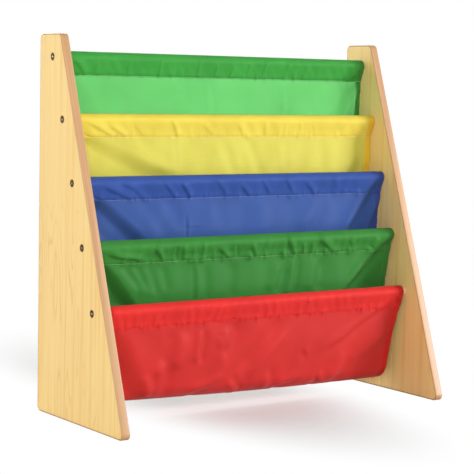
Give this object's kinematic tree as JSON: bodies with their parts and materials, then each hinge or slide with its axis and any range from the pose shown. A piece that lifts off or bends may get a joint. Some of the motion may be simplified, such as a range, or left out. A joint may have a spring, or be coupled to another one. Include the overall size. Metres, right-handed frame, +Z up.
{
  "type": "sling bookshelf",
  "caption": "Free-standing child's bookshelf with sloping side panels, round rods bolted between them and coloured cloth slings that hang from the rods as book pockets.",
  "frame": {"origin": "on the floor, at the middle of the shelf's width and of its depth", "axes": "+X to the shelf's right as a reader stands before it, +Y to its back, +Z up; the pockets open upwards and towards -Y"},
  "size_m": [0.632, 0.2644, 0.6],
  "materials": {
    "board": "pine-print laminate, satin",
    "edge_band": "wood-tone plastic edge band, satin",
    "dowel": "turned and sanded softwood, unvarnished",
    "bolt_steel": "zinc-plated steel",
    "insert_metal": "yellow zinc-plated",
    "cloth_light_green": "woven polyester, slightly shiny, lets light through",
    "cloth_yellow": "woven polyester, slightly shiny, lets light through",
    "cloth_blue": "woven polyester, slightly shiny, lets light through",
    "cloth_green": "woven polyester, slightly shiny, lets light through",
    "cloth_red": "woven polyester, slightly shiny, lets light through"
  },
  "bodies": {
    "root": {"side_panel_left": "board", "side_panel_right": "board", "edge_band_left": "edge_band", "edge_band_right": "edge_band", "rod_1": "dowel", "rod_2": "dowel", "rod_3": "dowel", "rod_4": "dowel", "rod_5": "dowel", "bolt_left_1": "bolt_steel", "bolt_left_2": "bolt_steel", "bolt_left_3": "bolt_steel", "bolt_left_4": "bolt_steel", "bolt_left_5": "bolt_steel", "bolt_right_1": "bolt_steel", "bolt_right_2": "bolt_steel", "bolt_right_3": "bolt_steel", "bolt_right_4": "bolt_steel", "bolt_right_5": "bolt_steel", "insert_left_1": "insert_metal", "insert_left_2": "insert_metal", "insert_left_3": "insert_metal", "insert_left_4": "insert_metal", "insert_left_5": "insert_metal", "insert_right_1": "insert_metal", "insert_right_2": "insert_metal", "insert_right_3": "insert_metal", "insert_right_4": "insert_metal", "insert_right_5": "insert_metal", "sling_green_top": "cloth_light_green", "sling_yellow": "cloth_yellow", "sling_blue": "cloth_blue", "sling_green": "cloth_green", "sling_red": "cloth_red"}
  },
  "joints": []
}
